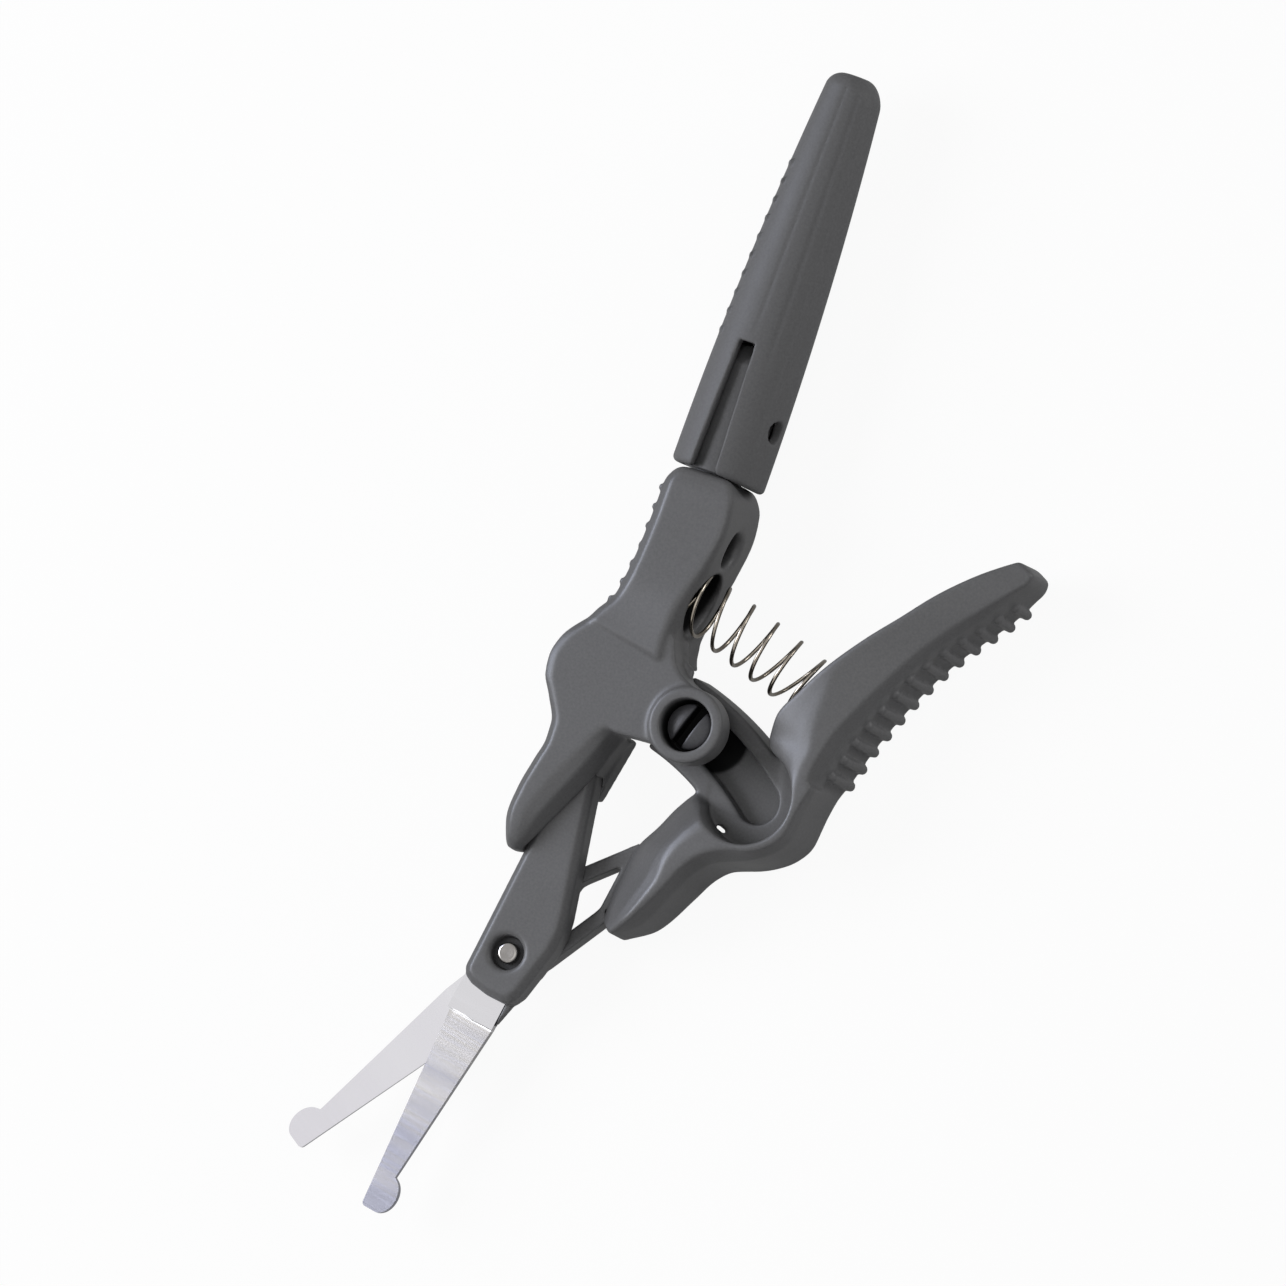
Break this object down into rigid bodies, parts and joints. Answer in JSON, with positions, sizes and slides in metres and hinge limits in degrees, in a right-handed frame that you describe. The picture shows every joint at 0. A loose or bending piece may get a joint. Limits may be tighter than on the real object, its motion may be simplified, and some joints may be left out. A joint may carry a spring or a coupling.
{
  "type": "thread snips",
  "caption": "Spring-loaded thread snips: ribbed handle, squeeze lever guided by a pin in a curved groove, round-tipped blades on a rivet, and a capped seam ripper on the handle's end.",
  "frame": {"origin": "middle of the grip's flat back face", "axes": "+Y up the grip towards the cap's end, +Z out of the front face, +X towards the lever"},
  "size_m": [0.072, 0.1595, 0.0148],
  "materials": {
    "grey_plastic": "satin moulded, fine grain",
    "dark_plastic": "satin moulded",
    "blade_steel": "ground across the blade",
    "bright_steel": "plain",
    "spring_wire": "bright drawn wire",
    "bead_plastic": "gloss"
  },
  "bodies": {
    "handle": {"handle_body": "grey_plastic", "front_holder": "grey_plastic", "front_blade": "blade_steel", "pivot_rivet": "bright_steel", "pivot_washers": "bright_steel", "front_holder_pin": "bright_steel", "guide_pin": "dark_plastic", "return_spring": "spring_wire", "ripper_holder": "grey_plastic", "ripper_blade": "blade_steel", "ripper_ball": "bead_plastic"},
    "lever": {"lever": "grey_plastic", "rear_holder": "grey_plastic", "rear_blade": "blade_steel", "rear_holder_pin": "bright_steel"},
    "cap": {"ripper_cap": "grey_plastic"}
  },
  "joints": [
    {"name": "lever_squeeze", "type": "hinge", "parent": "handle", "child": "lever", "pos_m": [-0.0048, -0.056, 0.0055], "axis": [0, 0, 1], "range_deg": [0, 18], "stiffness_Nm_per_rad": 0.4, "springref_deg": -8.59, "deforming": ["return_spring"]},
    {"name": "cap_pull", "type": "slide", "parent": "handle", "child": "cap", "axis": [0, 1, 0], "range_m": [0, 0.06]}
  ]
}
